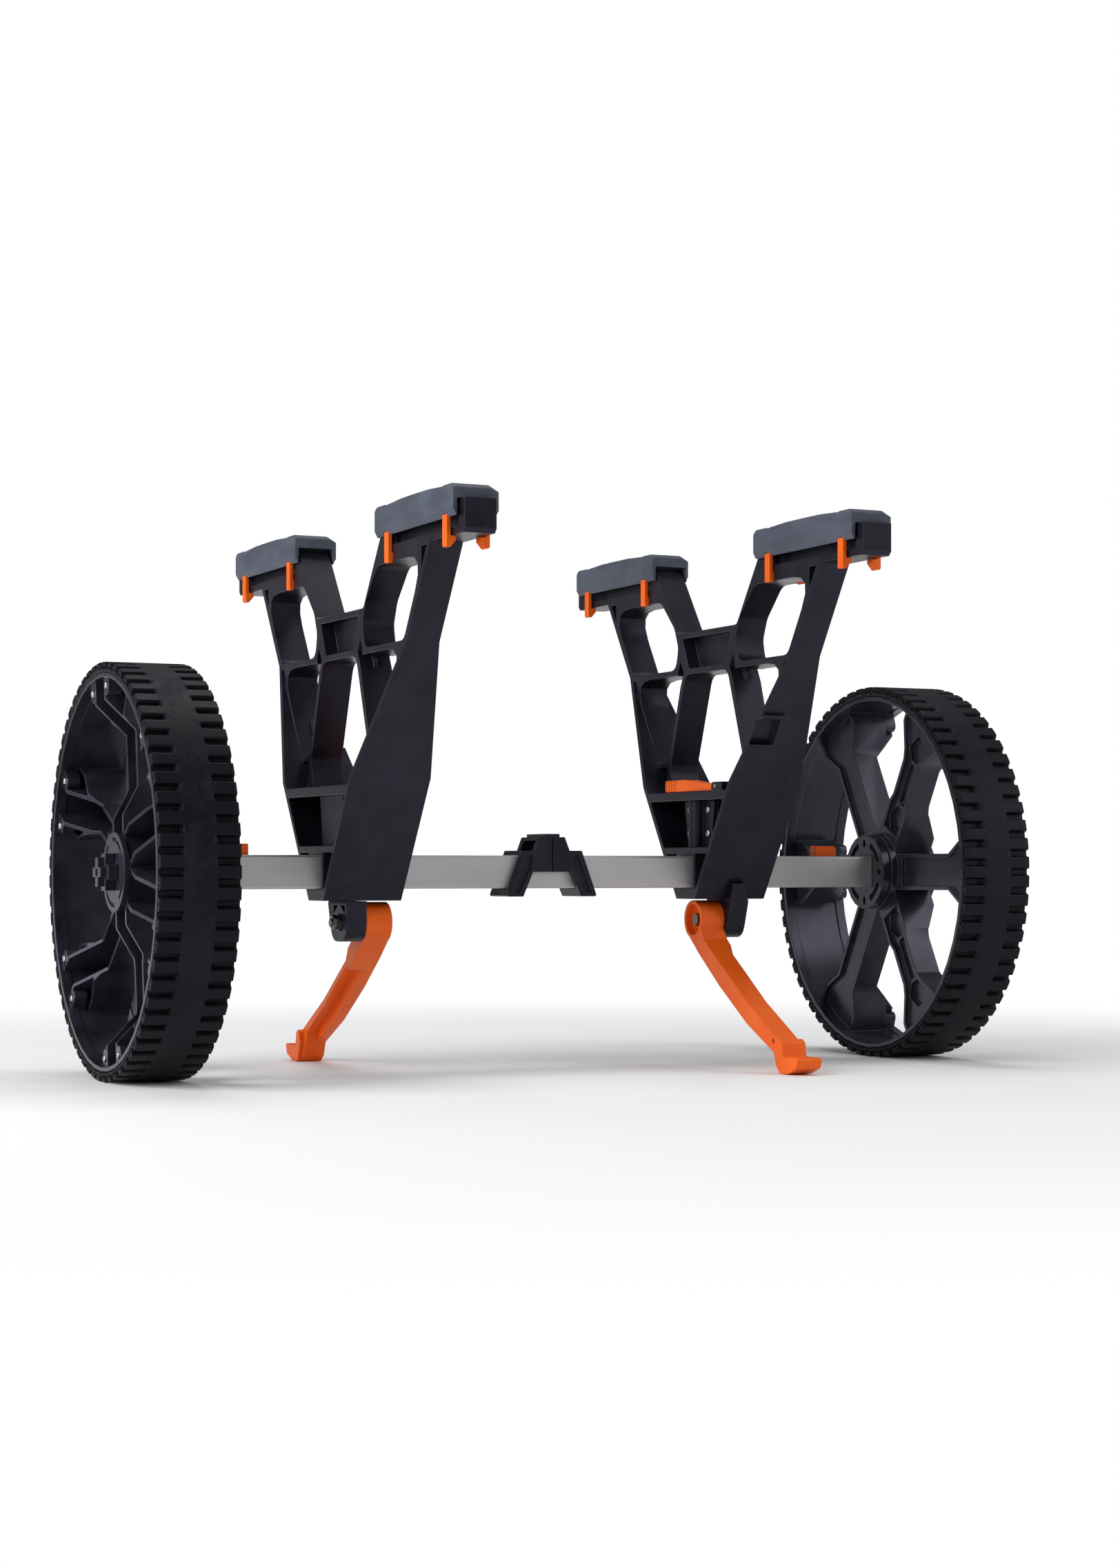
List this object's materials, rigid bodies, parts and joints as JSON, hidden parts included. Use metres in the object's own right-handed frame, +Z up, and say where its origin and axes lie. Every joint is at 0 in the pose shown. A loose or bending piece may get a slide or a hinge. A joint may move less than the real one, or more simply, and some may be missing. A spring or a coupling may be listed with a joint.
{
  "type": "kayak cart",
  "caption": "Two-wheeled cart for a kayak: spoked wheels with treaded tyres on a square aluminium axle, and sliding black trestles with padded arms, orange latches and folding kickstands.",
  "frame": {"origin": "on the ground under the middle of the axle", "axes": "X along the axle, Y along the boat, Z up"},
  "size_m": [0.7078, 0.494, 0.4164],
  "materials": {
    "satin_aluminium": "satin extrusion",
    "tyre_rubber": "moulded matte tread",
    "pad_rubber": "soft fine-grained",
    "orange_plastic": "satin moulded",
    "bright_steel": "machined",
    "wheel_plastic": "semi-gloss moulded",
    "black_plastic": "satin moulded"
  },
  "bodies": {
    "axle": {"axle_tube": "satin_aluminium", "centre_bracket": "black_plastic", "left_axle_plug": "wheel_plastic", "left_button_spring": "bright_steel", "left_spindle": "wheel_plastic", "right_axle_plug": "wheel_plastic", "right_button_spring": "bright_steel", "right_spindle": "wheel_plastic"},
    "left_tower": {"left_frame": "black_plastic", "left_kickstand_bolt": "bright_steel", "left_kickstand_bracket": "black_plastic", "left_kickstand_nut": "bright_steel", "left_kickstand_washer": "bright_steel", "left_latch_cover": "black_plastic", "left_lever_pin": "bright_steel", "left_plain_side_inner_clip": "orange_plastic", "left_plain_side_outer_clip": "orange_plastic", "left_plain_side_pad": "pad_rubber", "left_plunger_spring": "bright_steel", "left_stand_side_inner_clip": "orange_plastic", "left_stand_side_outer_clip": "orange_plastic", "left_stand_side_pad": "pad_rubber"},
    "left_wheel": {"left_hub_cap": "wheel_plastic", "left_rim": "wheel_plastic", "left_tyre": "tyre_rubber"},
    "left_kickstand": {"left_kickstand": "orange_plastic"},
    "left_lever": {"left_latch_lever": "orange_plastic"},
    "left_plunger": {"left_plunger": "black_plastic"},
    "left_button": {"left_release_button": "orange_plastic"},
    "right_tower": {"right_frame": "black_plastic", "right_kickstand_bolt": "bright_steel", "right_kickstand_bracket": "black_plastic", "right_kickstand_nut": "bright_steel", "right_kickstand_washer": "bright_steel", "right_latch_cover": "black_plastic", "right_lever_pin": "bright_steel", "right_plain_side_inner_clip": "orange_plastic", "right_plain_side_outer_clip": "orange_plastic", "right_plain_side_pad": "pad_rubber", "right_plunger_spring": "bright_steel", "right_stand_side_inner_clip": "orange_plastic", "right_stand_side_outer_clip": "orange_plastic", "right_stand_side_pad": "pad_rubber"},
    "right_wheel": {"right_hub_cap": "wheel_plastic", "right_rim": "wheel_plastic", "right_tyre": "tyre_rubber"},
    "right_kickstand": {"right_kickstand": "orange_plastic"},
    "right_lever": {"right_latch_lever": "orange_plastic"},
    "right_plunger": {"right_plunger": "black_plastic"},
    "right_button": {"right_release_button": "orange_plastic"}
  },
  "joints": [
    {"name": "left_wheel_spin", "type": "hinge", "parent": "axle", "child": "left_wheel", "pos_m": [-0.3217, 0, 0.1524], "axis": [1, 0, 0], "continuous": true},
    {"name": "left_tower_slide", "type": "slide", "parent": "axle", "child": "left_tower", "axis": [1, 0, 0], "range_m": [-0.05, 0.08]},
    {"name": "left_lever_lift", "type": "hinge", "parent": "left_tower", "child": "left_lever", "pos_m": [-0.131, 0.05, 0.2199], "axis": [-1, 0, 0], "range_deg": [0, 12], "stiffness_Nm_per_rad": 1, "springref_deg": -8.59},
    {"name": "left_plunger_lift", "type": "slide", "parent": "left_tower", "child": "left_plunger", "axis": [0, 0, 1], "range_m": [0, 0.0106], "deforming": ["left_plunger_spring"]},
    {"name": "left_kickstand_fold", "type": "hinge", "parent": "left_tower", "child": "left_kickstand", "pos_m": [-0.1413, 0, 0.1144], "axis": [1, 0, 0], "range_deg": [0, 80]},
    {"name": "left_button_press", "type": "slide", "parent": "axle", "child": "left_button", "axis": [0, 0, -1], "range_m": [0, 0.009], "stiffness_N_per_m": 400, "springref_m": -0.004, "deforming": ["left_button_spring"]},
    {"name": "right_wheel_spin", "type": "hinge", "parent": "axle", "child": "right_wheel", "pos_m": [0.3217, 0, 0.1524], "axis": [1, 0, 0], "continuous": true},
    {"name": "right_tower_slide", "type": "slide", "parent": "axle", "child": "right_tower", "axis": [1, 0, 0], "range_m": [-0.08, 0.05]},
    {"name": "right_lever_lift", "type": "hinge", "parent": "right_tower", "child": "right_lever", "pos_m": [0.131, -0.05, 0.2199], "axis": [1, 0, 0], "range_deg": [0, 12], "stiffness_Nm_per_rad": 1, "springref_deg": -8.59},
    {"name": "right_plunger_lift", "type": "slide", "parent": "right_tower", "child": "right_plunger", "axis": [0, 0, 1], "range_m": [0, 0.0106], "deforming": ["right_plunger_spring"]},
    {"name": "right_kickstand_fold", "type": "hinge", "parent": "right_tower", "child": "right_kickstand", "pos_m": [0.1413, 0, 0.1144], "axis": [-1, 0, 0], "range_deg": [0, 80]},
    {"name": "right_button_press", "type": "slide", "parent": "axle", "child": "right_button", "axis": [0, 0, -1], "range_m": [0, 0.009], "stiffness_N_per_m": 400, "springref_m": -0.004, "deforming": ["right_button_spring"]}
  ],
  "couplings": [
    {"joint": "left_plunger_lift", "follows": "left_lever_lift", "m_per_rad": 0.05},
    {"joint": "right_plunger_lift", "follows": "right_lever_lift", "m_per_rad": 0.05}
  ]
}
